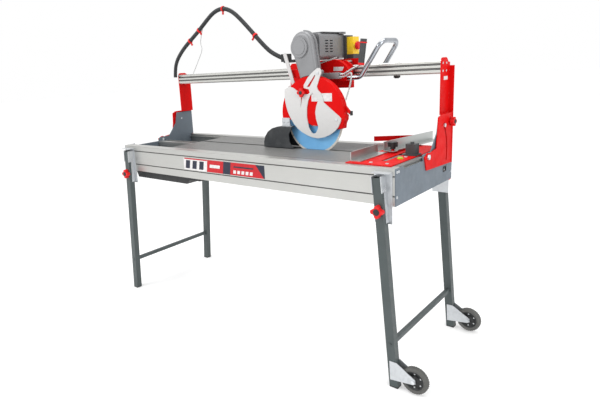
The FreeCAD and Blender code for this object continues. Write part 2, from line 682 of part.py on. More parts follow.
def head_casting():
    """Belt housing of the head, its arm, the plunge pin and the lever knuckle."""
    back = hull_y(MOTOR_X, MOTOR_Z, 58, BLADE_X, BLADE_Z, 68, 28, 75)
    back = back.cut(box(150, 450, 50, 76, 1392, 1700))
    body = join(front_housing(), back, cyl_y(30, GUARD_BACK, 28, BLADE_X, BLADE_Z))
    knuckle = box(350, 470, 50, 75, 1364, 1396)
    lug = join(box(355, 393, -20, 10, 1392, 1412), cyl_y(12, -20, 10, 393, 1403))
    arm = join(box(HEAD_X, 320, 78, 112, 1380, 1420), cyl_y(22, 78, 112, HEAD_X, HEAD_Z))
    neck = box(246, 320, 45, 90, 1376, 1424)
    pin = cyl_y(10, 100, 178, HEAD_X, HEAD_Z)
    mount = cyl_y(56, 50, 53, MOTOR_X, MOTOR_Z)
    body = join(body, lug, knuckle, arm, neck, pin, mount)
    body = body.cut(hull_y(MOTOR_X, MOTOR_Z, 48, BLADE_X, BLADE_Z, 54, 28, 47))
    body = body.cut(cyl_y(12, 45, 54, MOTOR_X, MOTOR_Z))
    body = body.cut(cyl_y(10 + RUNNING, 10, 32, BLADE_X, BLADE_Z))
    return body.cut(cyl_y(10 + RUNNING, 46, 72, BLADE_X, BLADE_Z))


def motor_body():
    x, z = MOTOR_X, MOTOR_Z
    shell = box(x - 68, x + 70, 62, 312, z - 68, z + 70)
    vertical = [e for e in shell.Edges if abs(e.Length - 250) < 0.01]
    shell = shell.makeFillet(22, vertical)
    shell = join(shell, cyl_y(60, 53, 62, x, z), cyl_y(52, 312, 320, x, z))
    shell = shell.cut(cyl_y(56, 72, 302, x, z))
    shell = shell.cut(cyl_y(9 + RUNNING, 53, 72, x, z)).cut(cyl_y(9 + RUNNING, 302, 314, x, z))
    cover = box(x - 40, x + 66, 96, 306, z + 70, z + 75)
    shell = join(shell, cover, box(x + 66, x + 80, 255, 306, z + 64, z + 75))
    for row in range(5):
        for column in range(2):
            y = 115 + 45 * column
            shell = shell.cut(box(x + 55, x + 70, y, y + 30, z - 30 + 14 * row, z - 24 + 14 * row))
    return shell


def rotor():
    x, z = MOTOR_X, MOTOR_Z
    shaft = cyl_y(9, 33, 310, x, z)
    pulley = cyl_y(MOTOR_PULLEY_R, 34, 44, x, z)
    return join(shaft, pulley, cyl_y(46, 90, 250, x, z), cyl_y(50, 262, 290, x, z))


def belt():
    outer = hull_y(MOTOR_X, MOTOR_Z, MOTOR_PULLEY_R + 5, BLADE_X, BLADE_Z, BLADE_PULLEY_R + 5, 34.5, 43.5)
    gap = hull_y(MOTOR_X, MOTOR_Z, MOTOR_PULLEY_R + 0.4, BLADE_X, BLADE_Z, BLADE_PULLEY_R + 0.4, 34.5, 43.5)
    return outer.cut(gap)


def blade_disc():
    disc = cyl_y(BLADE_R, -1.5, 1.5, BLADE_X, BLADE_Z).cut(cyl_y(10, -2, 2, BLADE_X, BLADE_Z))
    for k in range(18):
        a = 360.0 * k / 18
        slot = box(BLADE_X - 1.5, BLADE_X + 1.5, -2, 2, BLADE_Z + BLADE_R - 14, BLADE_Z + BLADE_R + 2)
        disc = disc.cut(turned(slot, (BLADE_X, 0, BLADE_Z), (0, 1, 0), a))
    return disc


def blade_shaft():
    """Blade shaft with its pulley and inner flange, and the outer flange with its nut."""
    x, z = BLADE_X, BLADE_Z
    shaft = join(cyl_y(10, -18, 70, x, z), cyl_y(30, 1.5, 8, x, z), cyl_y(BLADE_PULLEY_R, 34, 44, x, z))
    flange = join(cyl_y(30, -8, -1.5, x, z), hex_y(27, -17, -8, x, z)).cut(cyl_y(10, -18, 0, x, z))
    return shaft, flange


def guard_outline():
    """Guard outline in the blade plane: a round back and a lower edge that leaves the cutting side open."""
    points = []
    for degrees in range(188, -1, -4):
        a = math.radians(degrees)
        points.append((GUARD_X + GUARD_R * math.cos(a), GUARD_Z + GUARD_R * math.sin(a)))
    points += [(548, 1186), (546, 1163), (536, 1145), (533, 1121), (500, 1116), (400, 1128)]
    return points + [(344, 1131), (316, 1146), (200, 1160)]


def guard():
    """Sheet guard, open along its lower edge, with the blade and shaft inside."""
    shell = prism_y(guard_outline(), -25, GUARD_BACK)
    y0, y1 = -22, GUARD_BACK - 3
    inner = cyl_y(GUARD_R - 3, y0, y1, GUARD_X, GUARD_Z).common(box(100, 600, y0, y1, 1131, 1400))
    inner = inner.fuse(box(155, 530, y0, y1, 1060, 1135))
    shell = shell.cut(inner)
    tab = prism_y([(498, 1114), (533, 1119), (536, 1143), (500, 1140)], y0, y1)
    shell = join(shell, tab.cut(box(490, 570, -5, 5, 1100, 1160)))
    shell = shell.cut(cyl_y(14, 5, 15, BLADE_X, BLADE_Z))
    return shell.cut(cyl_y(4 + RUNNING, -26, -20, GUARD_KNOB_X, GUARD_KNOB_Z))


def guard_cover():
    """White side cover with an oval window, a slot and an arm that reaches up to its pin."""
    outline = [(175, 1318), (184, 1326), (198, 1331), (215, 1333), (232, 1329), (249, 1318), (271, 1304)]
    outline += [(283, 1288), (277, 1220), (293, 1286), (308, 1293), (330, 1294), (340, 1302), (335, 1318)]
    outline += [(303, 1326), (303, 1341), (330, 1378), (352, 1398), (372, 1412), (392, 1424), (404, 1424)]
    outline += [(414, 1412), (414, 1398), (402, 1373), (385, 1330), (390, 1316), (410, 1296), (420, 1274)]
    outline += [(424, 1251), (470, 1216), (516, 1181), (527, 1170), (524, 1155), (508, 1125), (488, 1105)]
    outline += [(458, 1085), (422, 1071), (382, 1064), (345, 1068), (313, 1079), (282, 1093), (253, 1112)]
    outline += [(228, 1138), (206, 1169), (192, 1198), (182, 1227), (176, 1255), (173, 1285)]
    plate = prism_y(outline, -30, -25)
    window = [(356, 1300), (342, 1288), (328, 1262), (318, 1225), (315, 1174), (326, 1120), (342, 1094)]
    window += [(356, 1087), (372, 1094), (385, 1115), (386, 1130), (375, 1165), (371, 1201), (378, 1232)]
    window += [(392, 1262), (372, 1290)]
    plate = plate.cut(prism_y(window, -31, -24))
    slit = prism_y([(322, 1330), (330, 1340), (372, 1388), (380, 1392), (374, 1378), (340, 1332)], -31, -24)
    plate = plate.cut(slit)
    return plate.cut(cyl_y(4 + RUNNING, -31, -24, GUARD_KNOB_X, GUARD_KNOB_Z))


def cover_screws():
    top = join(cyl_y(7, -33, -30, 393, 1399), cyl_y(4, -30, -20, 393, 1399))
    low = join(cyl_y(7, -33, -30, 500, 1165), cyl_y(3, -30, -25, 500, 1165))
    return top, low


def link_bar():
    """White support bar behind the guard, on a spacer."""
    dx, dz = 172 - 119, 1334 - 1503
    length = math.hypot(dx, dz)
    nx, nz = -dz / length * 11, dx / length * 11
    corners = [(119 + nx, 1503 + nz), (119 - nx, 1503 - nz), (172 - nx, 1334 - nz), (172 + nx, 1334 + nz)]
    plate = join(prism_y(corners, 57, 62), cyl_y(11, 57, 62, 119, 1503), cyl_y(11, 57, 62, 172, 1334))
    foot = prism_y([(163, 1328), (181, 1340), (222, 1302), (206, 1286)], GUARD_BACK, GUARD_BACK + 5)
    return join(plate, foot, cyl_y(8, GUARD_BACK, 57, 176, 1330))


def lever_rod():
    return swept([(470, 60, 1386), (492, 60, 1386), (540, 60, 1410), (593, 60, 1431)], 5.5, 0.3)


def on_grip_axis(r, z0, z1):
    """Cylinder about the axis of the grip, which leans to the right."""
    return turned(cyl_z(r, z0, z1, 593, 60), (593, 60, 1430), (0, 1, 0), GRIP_LEAN)


def lever():
    """Feed lever: a sloping rod with a leaning core for the grip."""
    return join(lever_rod(), on_grip_axis(6, 1425, 1545))


def grip():
    """Grip sleeve with a ring at each end and a cap on top."""
    core = on_grip_axis(6, 1400, 1545)
    sleeve = on_grip_axis(15.5, 1438, 1532).cut(core)
    low_ring = on_grip_axis(16.5, 1427, 1438).cut(core).cut(lever_rod())
    top_ring = on_grip_axis(18.5, 1532, 1538).cut(core)
    cap = on_grip_axis(16, 1538, 1552).cut(core)
    return sleeve, low_ring, top_ring, cap


def water_tubes():
    """Thin water tubes: from the lever knuckle to the rim of the guard, and up from the arm."""
    down = [(470, 56, 1373), (500, 56, 1373), (545, 30, 1391), (571, 8, 1393)]
    down += [(567, 2, 1340), (538, 0, 1260)]
    up = [(304, 100, 1420), (304, 100, 1443), (427, 100, 1471)]
    return swept(down, 4.0), swept(up, 4.0)


def laser():
    """Laser pointer on a small arm at the front of the guard."""
    arm = prism_y([(538, 1234), (530, 1220), (560, 1190), (568, 1200)], -6, 6)
    body = cyl_z(7, 1184, 1206, 570, 0)
    return arm.cut(cyl_y(GUARD_R, -10, 10, GUARD_X, GUARD_Z)).cut(body), body


def switch_box():
    """Yellow switch box on its black bracket and foot, at the back of the motor's right side."""
    yellow = box(364, 403, 308, 370, 1487, 1580)
    yellow = join(yellow, cyl_x(20, 403, 411, BUTTON_Y, BUTTON_Z))
    yellow = yellow.cut(cyl_x(6 + RUNNING, 393, 411, BUTTON_Y, BUTTON_Z))
    black = join(box(348, 364, 296, 370, 1460, 1590), box(364, 403, 308, 370, 1460, 1487))
    return yellow, black


def stop_button():
    stem = cyl_x(6, 398, 416, BUTTON_Y, BUTTON_Z)
    return join(stem, cyl_x(22, 415.5, 424, BUTTON_Y, BUTTON_Z), cyl_x(17, 424, 428, BUTTON_Y, BUTTON_Z))


def splash_flap():
    """Rubber flap shell behind the blade: two walls and a round top with a slot for the blade."""
    outline = [(20, 1003), (20, 1030), (30, 1062), (52, 1090), (84, 1110), (122, 1120), (222, 1120)]
    outline += [(222, 1108), (202, 1080), (205, 1040), (232, 1003)]
    outside = prism_y(outline, -46, 46)
    inside = [(23, 1003), (23, 1029), (33, 1060), (54, 1087), (85, 1107), (122, 1117), (222, 1117)]
    inside.append((240, 1003))
    return outside.cut(prism_y(inside, -43, 43)).cut(box(160, 240, -6, 6, 1100, 1125))


def splash_plate():
    """Bracket that hangs the flap from the front face of the guard."""
    plate = box(146, 210, -28, 24, 1120.2, 1123.2).cut(box(160, 215, -6, 6, 1115, 1130))
    lug = box(146, 198, -28, -25, 1120.2, 1168)
    bolts = [cyl_y(5, -31, -28, x, 1145) for x in (156, 182)]
    return join(plate, lug), bolts


def guard_knob():
    stud = cyl_y(4, -36, -20.5, GUARD_KNOB_X, GUARD_KNOB_Z)
    neck = cyl_y(9, -34, -30.4, GUARD_KNOB_X, GUARD_KNOB_Z)
    star = facing(star_knob(24, 15), (GUARD_KNOB_X, -33, GUARD_KNOB_Z), (0, -1, 0))
    return join(star, neck, stud)


def build_head():
    save("head_casting", head_casting())
    save("motor_body", motor_body())
    save("switch_box", *switch_box())
    save("stop_button", stop_button())
    save("rotor", rotor())
    save("belt", belt())
    save("blade_disc", blade_disc())
    save("blade_shaft", *blade_shaft())
    save("guard", guard())
    save("guard_cover", guard_cover(), link_bar(), *cover_screws())
    save("guard_knob", guard_knob())
    save("lever", lever())
    save("grip", *grip())
    save("water_tubes", *water_tubes())
    save("laser", *laser())
    save("splash_flap", splash_flap())
    plate, bolts = splash_plate()
    save("splash_plate", plate, *bolts)


if __name__ == "__main__":
    build_table()
    build_gauge()
    build_legs()
    build_bridge()
    build_carriage()
    build_head()
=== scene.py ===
"""Looks of the bridge wet tile saw: materials, detail pieces, light and camera, on the CAD frame."""

import math

import bmesh
import bpy
from mathutils import Matrix, Vector


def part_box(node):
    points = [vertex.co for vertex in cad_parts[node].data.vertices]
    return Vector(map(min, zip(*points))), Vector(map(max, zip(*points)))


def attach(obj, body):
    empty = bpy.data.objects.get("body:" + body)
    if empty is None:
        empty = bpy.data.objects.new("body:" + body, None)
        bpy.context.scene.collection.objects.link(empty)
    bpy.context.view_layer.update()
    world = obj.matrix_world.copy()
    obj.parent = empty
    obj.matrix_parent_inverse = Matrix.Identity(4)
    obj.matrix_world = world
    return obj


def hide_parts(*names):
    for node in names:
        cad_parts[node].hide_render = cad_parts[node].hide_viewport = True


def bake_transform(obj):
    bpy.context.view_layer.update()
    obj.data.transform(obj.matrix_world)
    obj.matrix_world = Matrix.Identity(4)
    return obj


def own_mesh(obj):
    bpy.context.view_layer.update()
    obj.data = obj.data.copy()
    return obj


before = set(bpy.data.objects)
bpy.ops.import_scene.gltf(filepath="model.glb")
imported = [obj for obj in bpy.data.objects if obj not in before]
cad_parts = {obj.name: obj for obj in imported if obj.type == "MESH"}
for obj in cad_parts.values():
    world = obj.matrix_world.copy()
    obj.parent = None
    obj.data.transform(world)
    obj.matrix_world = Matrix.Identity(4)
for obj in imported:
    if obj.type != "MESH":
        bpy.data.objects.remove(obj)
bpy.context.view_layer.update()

# The middle of the table: pieces are placed in metres from it, with Z from the floor.
RAIL_LOW, RAIL_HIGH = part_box("front_rail")
BACK_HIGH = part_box("back_rail")[1]
MIDDLE = Vector(((RAIL_LOW[0] + RAIL_HIGH[0]) / 2, (RAIL_LOW[1] + BACK_HIGH[1]) / 2, 0.0))


def at(x, y, z):
    """A point given in metres from the middle of the table, in the row frame."""
    return MIDDLE + Vector((x, y, z))


# Materials


# Sockets of a colour Mix node, which share their names with its number sockets
MIX_FACTOR, MIX_FIRST, MIX_SECOND, MIX_RESULT = 0, 6, 7, 2


class Nodes:
    """A material's node tree with short ways to add and link nodes."""

    def __init__(self, name):
        self.material = bpy.data.materials.new(name)
        self.material.use_nodes = True
        self.tree = self.material.node_tree
        self.shader = self.tree.nodes["Principled BSDF"]
        self.place = self.add("ShaderNodeTexCoord").outputs["Object"]

    def add(self, kind, **inputs):
        node = self.tree.nodes.new(kind)
        for key, value in inputs.items():
            node.inputs[key.replace("_", " ")].default_value = value
        return node

    def link(self, source, target):
        self.tree.links.new(source, target)

    def feed(self, socket, source):
        """Links a source to one of the surface shader's sockets."""
        self.link(source, self.shader.inputs[socket])

    def stretched(self, scale):
        mapping = self.add("ShaderNodeMapping")
        mapping.inputs["Scale"].default_value = scale
        self.link(self.place, mapping.inputs["Vector"])
        return mapping.outputs["Vector"]

    def noise(self, scale, detail=4.0, stretch=(1, 1, 1), rough=0.55):
        node = self.add("ShaderNodeTexNoise", Scale=scale, Detail=detail, Roughness=rough)
        self.link(self.stretched(stretch), node.inputs["Vector"])
        return node.outputs["Fac"]

    def ramp(self, source, stops):
        node = self.add("ShaderNodeValToRGB")
        elements = node.color_ramp.elements
        while len(elements) < len(stops):
            elements.new(0.5)
        for element, (place, colour) in zip(elements, stops):
            element.position = place
            element.color = (*colour, 1.0)
        self.link(source, node.inputs["Fac"])
        return node.outputs["Color"]

    def ranged(self, source, low, high, from_low=0.3, from_high=0.7):
        """The source's range from_low to from_high, stretched to low to high."""
        limits = {"From_Min": from_low, "From_Max": from_high, "To_Min": low, "To_Max": high}
        node = self.add("ShaderNodeMapRange", **limits)
        self.link(source, node.inputs["Value"])
        return node.outputs["Result"]

    def mix(self, factor, first, second):
        node = self.tree.nodes.new("ShaderNodeMix")
        node.data_type = "RGBA"
        self.link(factor, node.inputs[MIX_FACTOR])
        for index, value in ((MIX_FIRST, first), (MIX_SECOND, second)):
            if isinstance(value, tuple):
                node.inputs[index].default_value = (*value, 1.0)
            else:
                self.link(value, node.inputs[index])
        return node.outputs[MIX_RESULT]

    def math(self, operation, first, second):
        node = self.tree.nodes.new("ShaderNodeMath")
        node.operation = operation
        for socket, value in zip(node.inputs, (first, second)):
            if isinstance(value, float):
                socket.default_value = value
            else:
                self.link(value, socket)
        return node.outputs[0]

    def bump(self, height, strength, distance=0.001, before=None):
        node = self.add("ShaderNodeBump", Strength=strength, Distance=distance)
        self.link(height, node.inputs["Height"])
        if before is not None:
            self.link(before, node.inputs["Normal"])
        return node.outputs["Normal"]

    def soft_edges(self, radius):
        """A normal that rounds the mesh's edges by a radius in metres."""
        node = self.tree.nodes.new("ShaderNodeBevel")
        node.samples = 4
        node.inputs["Radius"].default_value = radius
        return node.outputs["Normal"]

    def edge_mask(self, rounded, low, high):
        """High where the rounded normal leaves the flat one, which is along the edges."""
        flat = self.add("ShaderNodeNewGeometry").outputs["Normal"]
        node = self.tree.nodes.new("ShaderNodeVectorMath")
        node.operation = "DOT_PRODUCT"
        self.link(rounded, node.inputs[0])
        self.link(flat, node.inputs[1])
        return self.ranged(node.outputs["Value"], 1.0, 0.0, low, high)


def shade(colour, factor):
    """A colour made darker or lighter by a factor."""
    return tuple(min(1.0, c * factor) for c in colour)


def painted(name, colour, roughness=0.45, wear=(0.45, 0.43, 0.42), worn=0.5, peel=0.12, shine=0.3):
    """Powder coat: orange peel, faint dirt, and bare metal along the most used edges."""
    n = Nodes(name)
    dirt = n.noise(9.0, 6.0)
    base = n.ramp(dirt, [(0.25, shade(colour, 0.86)), (0.5, colour), (0.75, shade(colour, 1.07))])
    rounded = n.soft_edges(0.0016)
    chipped = n.ranged(n.noise(120.0, 5.0), 0.0, worn, 0.5, 0.66)
    chips = n.math("MULTIPLY", n.edge_mask(rounded, 0.72, 0.97), chipped)
    n.feed("Base Color", n.mix(chips, base, wear))
    n.feed("Roughness", n.ranged(n.noise(35.0, 5.0), roughness - 0.05, roughness + 0.12))
    n.feed("Normal", n.bump(n.noise(420.0, 2.0), peel, 0.0006, rounded))
    n.shader.inputs["Specular IOR Level"].default_value = shine
    return n.material


def brushed(name, colour, along, roughness=0.3, metallic=1.0, grain=0.22):
    """Metal with fine lines along the axis of the smallest stretch, and slow changes of tone."""
    n = Nodes(name)
    lines = n.noise(28.0, 5.0, along, 0.7)
    tone = n.noise(5.0, 4.0)
    base = n.ramp(lines, [(0.2, shade(colour, 0.88)), (0.8, shade(colour, 1.072))])
    n.feed("Base Color", n.mix(n.ranged(tone, 0.0, 0.35), base, shade(colour, 0.8)))
    n.shader.inputs["Metallic"].default_value = metallic
    n.feed("Roughness", n.ranged(lines, roughness - 0.07, roughness + 0.13))
    n.feed("Normal", n.bump(lines, grain, 0.0003, n.soft_edges(0.0012)))
    return n.material


def galvanised(name, colour=(0.56, 0.58, 0.6)):
    """Zinc coat with soft spangles."""
    n = Nodes(name)
    cells = n.add("ShaderNodeTexVoronoi", Scale=85.0)
    n.link(n.stretched((1, 1, 1)), cells.inputs["Vector"])
    spangle = n.ranged(cells.outputs["Color"], 0.0, 1.0, 0.0, 1.0)
    base = n.ramp(spangle, [(0.1, shade(colour, 0.92)), (0.9, shade(colour, 1.06))])
    stain = n.ranged(n.noise(14.0, 6.0), 0.0, 0.3)
    n.feed("Base Color", n.mix(stain, base, shade(colour, 0.74)))
    n.shader.inputs["Metallic"].default_value = 0.7
    n.feed("Roughness", n.ranged(spangle, 0.3, 0.5, 0.0, 1.0))
    n.feed("Normal", n.bump(n.noise(240.0, 3.0), 0.08, 0.0005, n.soft_edges(0.001)))
    return n.material


def cast(name, colour, roughness=0.5, metallic=0.55):
    """Painted casting with a sandy skin."""
    n = Nodes(name)
    sand = n.noise(650.0, 3.0)
    blotch = n.noise(12.0, 6.0)
    base = n.ramp(blotch, [(0.3, shade(colour, 0.88)), (0.7, shade(colour, 1.08))])
    n.feed("Base Color", n.mix(n.ranged(sand, 0.0, 0.3), base, shade(colour, 0.72)))
    n.shader.inputs["Metallic"].default_value = metallic
    n.feed("Roughness", n.ranged(blotch, roughness - 0.08, roughness + 0.1))
    n.feed("Normal", n.bump(sand, 0.28, 0.0006, n.soft_edges(0.003)))
    return n.material


def moulded(name, colour, roughness=0.42, texture=0.15, scale=900.0, radius=0.0012, dust=0.25,
            dust_colour=None, tone=0.13):
    """Moulded plastic or rubber with a fine texture and a little dust."""
    n = Nodes(name)
    cloud = n.noise(16.0, 6.0)
    base = n.ramp(n.noise(60.0, 4.0), [(0.3, shade(colour, 1 - tone)), (0.7, shade(colour, 1 + tone))])
    pale = dust_colour or tuple(c * 0.75 + 0.09 for c in colour)
    n.feed("Base Color", n.mix(n.ranged(cloud, 0.0, dust, 0.45, 0.8), base, pale))
    n.feed("Roughness", n.ranged(cloud, roughness - 0.06, roughness + 0.12))
    n.shader.inputs["Specular IOR Level"].default_value = 0.35
    n.feed("Normal", n.bump(n.noise(scale, 2.0), texture, 0.0004, n.soft_edges(radius)))
    return n.material


def chrome_plate(name):
    """Bright plated steel with a faint haze."""
    n = Nodes(name)
    haze = n.noise(30.0, 6.0)
    n.feed("Base Color", n.ramp(haze, [(0.3, (0.30, 0.32, 0.35)), (0.7, (0.42, 0.44, 0.47))]))
    n.shader.inputs["Metallic"].default_value = 1.0
    n.feed("Roughness", n.ranged(haze, 0.05, 0.16))
    n.feed("Normal", n.bump(n.noise(300.0, 2.0), 0.02, 0.0003))
    return n.material


def clear_tube(name):
    """Thin clear hose that lets some light through."""
    n = Nodes(name)
    haze = n.noise(60.0, 4.0)
    n.feed("Base Color", n.ramp(haze, [(0.3, (0.52, 0.54, 0.53)), (0.7, (0.66, 0.68, 0.67))]))
    n.feed("Roughness", n.ranged(haze, 0.12, 0.3))
    n.feed("Normal", n.bump(haze, 0.05, 0.0003))
    n.shader.inputs["Transmission Weight"].default_value = 0.45
    return n.material


RIM_START = 0.1640
RIM_FULL = 0.1645


def blade_steel(name, centre):
    """Blue blade core with faint turning rings, and a bright abrasive rim outside RIM_START."""
    n = Nodes(name)
    offset = n.tree.nodes.new("ShaderNodeVectorMath")
    offset.operation = "SUBTRACT"
    offset.inputs[1].default_value = centre
    n.link(n.place, offset.inputs[0])
    distance = n.tree.nodes.new("ShaderNodeVectorMath")
    distance.operation = "LENGTH"
    n.link(offset.outputs["Vector"], distance.inputs[0])
    rings = n.tree.nodes.new("ShaderNodeTexNoise")
    rings.noise_dimensions = "1D"
    rings.inputs["Scale"].default_value = 700.0
    n.link(distance.outputs["Value"], rings.inputs["W"])
    core = n.ramp(n.noise(7.0, 5.0), [(0.3, (0.13, 0.40, 0.74)), (0.7, (0.20, 0.52, 0.86))])
    core = n.mix(n.ranged(rings.outputs["Fac"], 0.0, 0.3), core, (0.30, 0.60, 0.90))
    grit = n.ramp(n.noise(1500.0, 3.0), [(0.35, (0.46, 0.42, 0.36)), (0.65, (0.84, 0.82, 0.76))])
    rim = n.ranged(distance.outputs["Value"], 0.0, 1.0, RIM_START, RIM_FULL)
    n.feed("Base Color", n.mix(rim, core, grit))
    n.shader.inputs["Metallic"].default_value = 0.25
    n.feed("Roughness", n.ranged(rings.outputs["Fac"], 0.3, 0.48))
    n.feed("Normal", n.bump(n.math("MULTIPLY", n.noise(1500.0, 3.0), rim), 0.5, 0.0006))
    return n.material


RED = (0.59, 0.003, 0.003)
GREY = (0.125, 0.152, 0.180)
LEG_GREY = (0.056, 0.070, 0.071)
BARE = (0.5, 0.5, 0.5)
# Stretch of the brushed lines: along X for rails and planks, along Y for fences, along Z for shafts
RAIL_LINES = (0.6, 60, 60)
PLANK_LINES = (0.6, 90, 90)
FENCE_LINES = (40, 0.8, 40)
SHAFT_LINES = (8, 8, 60)
LABEL = {"roughness": 0.4, "texture": 0.03, "scale": 300.0, "radius": 0.0004}

MAT = {
    "red": painted("red_powder_coat", RED, worn=0.4, shine=0.07),
    "red_plastic": moulded("red_plastic", (0.62, 0.004, 0.005), 0.4, 0.08, 500.0, 0.002, dust=0.1),
    "grey": painted("grey_powder_coat", GREY, wear=BARE, worn=0.4, peel=0.14),
    "leg": painted("leg_powder_coat", LEG_GREY, wear=BARE, worn=0.35, shine=0.4),
    "rail": brushed("rail_aluminium", (0.54, 0.54, 0.52), RAIL_LINES, 0.36),
    "guide": brushed("guide_aluminium", (0.64, 0.64, 0.61), RAIL_LINES, 0.32),
    "plank": brushed("plank_aluminium", (0.215, 0.215, 0.21), PLANK_LINES, 0.42, 0.75, 0.3),
    "fence": brushed("fence_aluminium", (0.52, 0.54, 0.53), FENCE_LINES, 0.32),
    # Dark aluminium for the groove faces: painted shade in the grooves
    "groove": brushed("groove_painted_shade", (0.17, 0.17, 0.165), RAIL_LINES, 0.5),
    "zinc": galvanised("zinc_plate"),
    "bolt": galvanised("bolt_zinc", (0.66, 0.68, 0.7)),
    "steel": brushed("bright_steel", (0.45, 0.45, 0.45), SHAFT_LINES, 0.25),
    "cast": cast("motor_casting", (0.245, 0.248, 0.256)),
    "cast_dark": cast("dark_casting", (0.10, 0.105, 0.11), 0.45),
    "chrome": chrome_plate("chrome_plate"),
    "black": moulded("black_plastic", (0.017, 0.018, 0.019)),
    "charcoal": moulded("charcoal_plastic", (0.045, 0.048, 0.05), 0.5),
    "rubber": moulded("black_rubber", (0.018, 0.018, 0.019), 0.62, 0.3, 500.0, 0.0015, dust=0.35),
    "hose": moulded("hose_rubber", (0.022, 0.024, 0.026), 0.4, 0.12, 700.0, 0.0005, dust=0.2),
    "flap": moulded("flap_rubber", (0.03, 0.033, 0.036), 0.55, 0.4, 160.0, 0.003, dust=0.5),
    "tyre": moulded("tyre_rubber", (0.09, 0.09, 0.085), 0.7, 0.45, 420.0, dust=0.5),
    "yellow": moulded("yellow_plastic", (0.82, 0.56, 0.015), 0.38, 0.08, 500.0, 0.002, dust=0.12,
                      dust_colour=(0.8, 0.62, 0.2)),
    "white": moulded("white_sheet", (0.56, 0.555, 0.55), 0.42, 0.03, 300.0, 0.001, dust=0.1,
                     dust_colour=(0.6, 0.6, 0.58), tone=0.02),
    "label": moulded("label_white", (0.62, 0.60, 0.60), 0.5, 0.03, 300.0, 0.0004, dust=0.2,
                     dust_colour=(0.5, 0.49, 0.48)),
    "ink": moulded("label_dark", (0.012, 0.016, 0.035), dust=0.1, **LABEL),
    "label_red": moulded("label_red", (0.44, 0.004, 0.010), dust=0.05, **LABEL),
    "level": moulded("level_liquid", (0.42, 0.55, 0.03), 0.2, 0.02, 300.0, 0.0008, dust=0.1),
    "clear": clear_tube("clear_tube"),
}
BLADE_LOW, BLADE_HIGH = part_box("blade_disc")
MAT["blade"] = blade_steel("blade_steel", (BLADE_LOW + BLADE_HIGH) / 2)

FINISH = {
    "front_rail": "rail", "back_rail": "rail", "left_end_plate": "grey", "right_end_plate": "grey",
    "frame_screws": "bolt", "center_beam": "rail", "table_front": "plank", "table_back": "plank",
    "water_tray": "black", "water_pump": "charcoal", "leg_hangers": "zinc", "mains_inlet": "black",
    "gauge_base": "red", "gauge_fence_front": "fence", "gauge_clamp": "charcoal",
    "gauge_fence_back": "fence", "gauge_stop_bar": "red", "gauge_knob": "black",
    "left_leg_frame": "leg", "right_leg_frame": "leg", "left_leg_clamps": "zinc", "right_leg_clamps": "zinc",
    "left_foot_caps": "rubber", "right_foot_caps": "rubber",
    "leg_knob_left_front": "red_plastic", "leg_knob_left_back": "red_plastic",
    "leg_knob_right_front": "red_plastic", "leg_knob_right_back": "red_plastic",
    "tilt_knob_left": "red_plastic", "tilt_knob_right": "red_plastic", "guard_knob": "red_plastic",
    "guide_rail": "guide", "left_post": "red", "right_post": "red", "rail_stop": "rubber",
    "carriage_plate": "red", "u_handle": "chrome", "hose_block": "black",
    "roller_left": "steel", "roller_right": "steel",
    "head_casting": "cast", "motor_body": "cast", "rotor": "steel", "belt": "rubber",
    "switch_box": "yellow", "stop_button": "red_plastic", "guard": "red", "guard_cover": "white",
    "lever": "steel", "grip": "charcoal", "water_tubes": "clear", "laser": "black",
    "splash_plate": "zinc", "blade_disc": "blade", "blade_shaft": "steel",
}


def finish_node(node, key, only=None):
    """Gives a CAD node its material, or gives it only to the faces whose centre passes the test."""
    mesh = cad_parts[node].data
    if only is None:
        mesh.materials.clear()
        mesh.materials.append(MAT[key])
        for face in mesh.polygons:
            face.material_index = 0
        return
    mesh.materials.append(MAT[key])
    index = len(mesh.materials) - 1
    for face in mesh.polygons:
        if only(face.center):
            face.material_index = index


for node_name, finish_key in FINISH.items():
    finish_node(node_name, finish_key)


def x_of(x):
    """The row frame's X of a place given from the middle of the table."""
    return at(x, 0, 0).x


def y_of(y):
    """The row frame's Y of a place given from the middle of the table."""
    return at(0, y, 0).y


# Nodes of more than one colour: a dark bracket, a red tip, a yellow level and the heads of screws
finish_node("switch_box", "charcoal", lambda c: c.x < x_of(0.3642) or c.z < 1.4872)
finish_node("laser", "red", lambda c: c.x < x_of(0.5625))
finish_node("gauge_clamp", "level", lambda c: c.y < y_of(-0.08))
finish_node("guard_cover", "bolt", lambda c: c.y < y_of(-0.0302))
finish_node("left_post", "bolt", lambda c: c.x > x_of(-0.9438))


def on_post_screw(centre):
    """True for the heads of the screws that hold the guide rail to a post."""
    on_head = abs(abs(centre.x - MIDDLE.x) - 0.952) < 0.0011
    return on_head and centre.z > 1.3 and abs(centre.y - y_of(0.219)) < 0.03


def on_axle_end(centre):
    """True for the outer ends of the wheel axles."""
    return abs(centre.y - MIDDLE.y) > 0.3575 and centre.z < 0.2


def on_ear_edge(centre):
    """True for the back edge of the ear plate, which is bare metal."""
    return centre.y > y_of(0.2838) and centre.z > 0.9 and abs(centre.x - MIDDLE.x) < 0.9591


for word in ("left", "right"):
    finish_node(word + "_post", "bolt", on_post_screw)
    finish_node(word + "_leg_clamps", "bolt", on_axle_end)
    finish_node(word + "_end_plate", "zinc", on_ear_edge)

# Grooves along the side rails and the guide rail, in metres from the middle of the table. Their faces get
# dark aluminium, a painted shade in the grooves.
GROOVE_TOP, GROOVE_FLOOR = 0.0005, 0.0055
RAIL_FACE_Y = 0.311
RAIL_GROOVES_Z = (0.881, 0.967)
RAIL_GROOVE_HALF = 0.0031
GUIDE_FACE_Y = 0.184
GUIDE_GROOVES_Z = (1.388, 1.409)
GUIDE_GROOVE_HALF = 0.0049


def in_groove(depth, height, grooves, half):
    """True for a place below the face, within the half width of one of the grooves."""
    in_band = min(abs(height - z) for z in grooves) < half
    return in_band and GROOVE_TOP < depth < GROOVE_FLOOR


def in_rail_groove(centre):
    depth = RAIL_FACE_Y - abs(centre.y - MIDDLE.y)
    return in_groove(depth, centre.z, RAIL_GROOVES_Z, RAIL_GROOVE_HALF)


